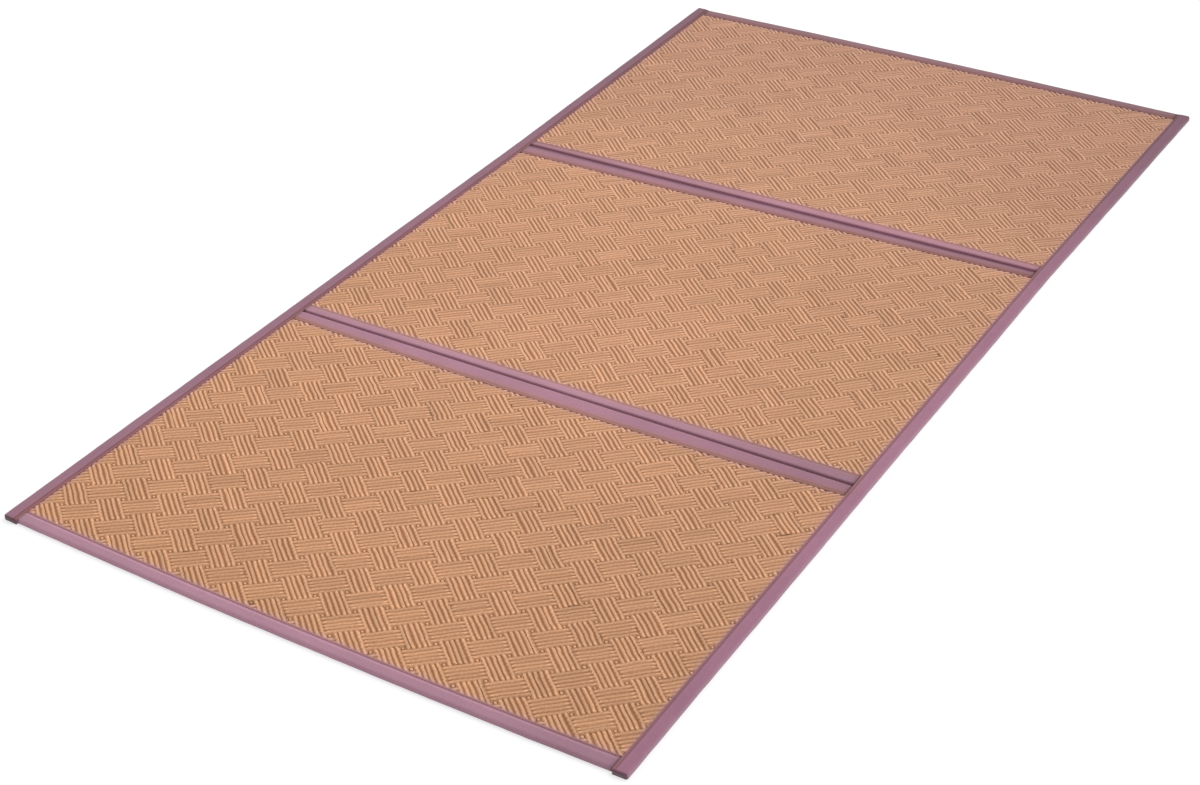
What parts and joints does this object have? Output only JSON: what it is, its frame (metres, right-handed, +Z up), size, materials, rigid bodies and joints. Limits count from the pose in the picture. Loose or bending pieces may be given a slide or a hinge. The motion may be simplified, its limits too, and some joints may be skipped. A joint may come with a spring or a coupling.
{
  "type": "folding tatami mat",
  "caption": "Flat folding floor mat of woven straw panels joined in a row, with a rounded cloth binding along every side and at each fold, to sit or sleep on.",
  "frame": {"origin": "on the floor below the middle of the mat", "axes": "+Z up, +Y along the mat from its near end to its far end, +X across it to the right"},
  "size_m": [1.0032, 1.891, 0.0086],
  "materials": {
    "woven_straw": "woven straw yarn in a diagonal basket weave, dull with a faint sheen on the ribs",
    "binding_cloth": "matt mauve cloth, folded over the edge and sewn"
  },
  "bodies": {
    "root": {"panel_near": "woven_straw", "panel_middle": "woven_straw", "panel_far": "woven_straw", "binding_left": "binding_cloth", "binding_right": "binding_cloth", "binding_near": "binding_cloth", "binding_far": "binding_cloth", "fold_1_near": "binding_cloth", "fold_1_far": "binding_cloth", "fold_2_near": "binding_cloth", "fold_2_far": "binding_cloth"}
  },
  "joints": []
}
